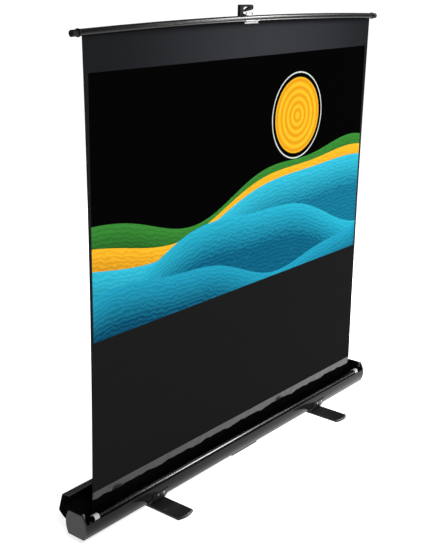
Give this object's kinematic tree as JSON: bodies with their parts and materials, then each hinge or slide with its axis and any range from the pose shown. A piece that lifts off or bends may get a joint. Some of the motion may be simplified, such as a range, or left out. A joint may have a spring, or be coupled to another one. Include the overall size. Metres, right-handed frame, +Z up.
{
  "type": "pull-up projection screen",
  "caption": "Free-standing pull-up projection screen: cloth drawn from a floor case with a hinged lid, held by a folding mast and swivel feet.",
  "frame": {"origin": "on the floor, under the middle of the case", "axes": "+X along the case, to the right as seen by the audience; -Y towards the audience; +Z up"},
  "size_m": [1.98, 0.39, 1.934],
  "materials": {
    "case_black": "glossy black coat on extruded aluminium",
    "cap_grey": "fine matt grey moulding",
    "nylon_white": "white nylon",
    "steel_zinc": "zinc-plated steel",
    "cloth": "black-backed screen cloth",
    "bar_black": "satin black anodised",
    "moulded_black": "black moulded nylon",
    "clip_silver": "bright aluminium",
    "mast_metal": "drawn aluminium tube",
    "foot_black": "satin black powder coat",
    "pad_rubber": "black rubber"
  },
  "bodies": {
    "case": {"case_trough": "case_black", "end_cap_left": "cap_grey", "end_cap_right": "cap_grey", "end_cap_screws": "steel_zinc", "nylon_sleeve_left": "nylon_white", "nylon_sleeve_right": "nylon_white", "lid_catch_left": "cap_grey", "lid_catch_right": "cap_grey", "lid_hinge_rod": "steel_zinc", "roller_bracket_left": "steel_zinc", "roller_bracket_right": "steel_zinc", "spring_shaft": "steel_zinc", "spring_anchor": "nylon_white", "torsion_spring": "steel_zinc", "screen_fabric": "cloth", "mast_base_bracket": "steel_zinc", "mast_fold_pin": "steel_zinc", "foot_saddle_left": "moulded_black", "foot_saddle_right": "moulded_black", "saddle_screws": "steel_zinc", "foot_pivot_left": "steel_zinc", "foot_pivot_right": "steel_zinc", "carry_handle_lugs": "moulded_black"},
    "lid": {"lid": "case_black"},
    "roller": {"roller_tube": "mast_metal", "fabric_roll": "cloth", "roller_plug_left": "nylon_white", "roller_plug_right": "nylon_white"},
    "top_bar": {"top_bar": "bar_black", "bar_end_left": "moulded_black", "bar_end_right": "moulded_black", "handle_clip": "clip_silver", "clip_screws": "steel_zinc", "hook_loop": "clip_silver"},
    "mast_outer": {"mast_foot": "moulded_black", "mast_tube_outer": "mast_metal"},
    "mast_middle": {"mast_tube_middle": "mast_metal", "slide_bush_lower": "nylon_white"},
    "mast_inner": {"mast_tube_inner": "mast_metal", "slide_bush_upper": "nylon_white", "mast_head": "moulded_black"},
    "collar_lower": {"twist_collar_lower": "moulded_black"},
    "collar_upper": {"twist_collar_upper": "moulded_black"},
    "foot_left": {"foot_left": "foot_black", "foot_washer_left": "nylon_white", "foot_pads_left": "pad_rubber"},
    "foot_right": {"foot_right": "foot_black", "foot_washer_right": "nylon_white", "foot_pads_right": "pad_rubber"},
    "carry_handle": {"carry_handle": "moulded_black"}
  },
  "joints": [
    {"name": "lid_hinge", "type": "hinge", "parent": "case", "child": "lid", "pos_m": [0, 0.053, 0.08], "axis": [1, 0, 0], "range_deg": [0, 3]},
    {"name": "screen_raise", "type": "slide", "parent": "case", "child": "top_bar", "axis": [0, 0, 1], "range_m": [-1.744, 0], "deforming": ["screen_fabric"]},
    {"name": "roller_spin", "type": "hinge", "parent": "case", "child": "roller", "pos_m": [0, -0.0261, 0.072], "axis": [1, 0, 0], "range_deg": [-4900, 0]},
    {"name": "mast_fold", "type": "hinge", "parent": "case", "child": "mast_outer", "pos_m": [-0.028, 0.021, 0.112], "axis": [0, -1, 0], "range_deg": [0, 87]},
    {"name": "mast_middle_slide", "type": "slide", "parent": "mast_outer", "child": "mast_middle", "axis": [0, 0, 1], "range_m": [-0.48, 0]},
    {"name": "mast_inner_slide", "type": "slide", "parent": "mast_middle", "child": "mast_inner", "axis": [0, 0, 1], "range_m": [-0.48, 0]},
    {"name": "collar_lower_twist", "type": "hinge", "parent": "mast_outer", "child": "collar_lower", "pos_m": [-0.028, 0.021, 0.748], "axis": [0, 0, 1], "range_deg": [0, 90]},
    {"name": "collar_upper_twist", "type": "hinge", "parent": "mast_middle", "child": "collar_upper", "pos_m": [-0.028, 0.021, 1.318], "axis": [0, 0, 1], "range_deg": [0, 90]},
    {"name": "foot_left_swivel", "type": "hinge", "parent": "case", "child": "foot_left", "pos_m": [-0.575, 0, 0.013], "axis": [0, 0, 1], "range_deg": [0, 90]},
    {"name": "foot_right_swivel", "type": "hinge", "parent": "case", "child": "foot_right", "pos_m": [0.575, 0, 0.013], "axis": [0, 0, 1], "range_deg": [-90, 0]},
    {"name": "carry_handle_swing", "type": "hinge", "parent": "case", "child": "carry_handle", "pos_m": [0, -0.015, 0.0245], "axis": [1, 0, 0], "range_deg": [0, 170]}
  ],
  "couplings": [
    {"joint": "roller_spin", "follows": "screen_raise", "rad_per_m": 48.78}
  ]
}
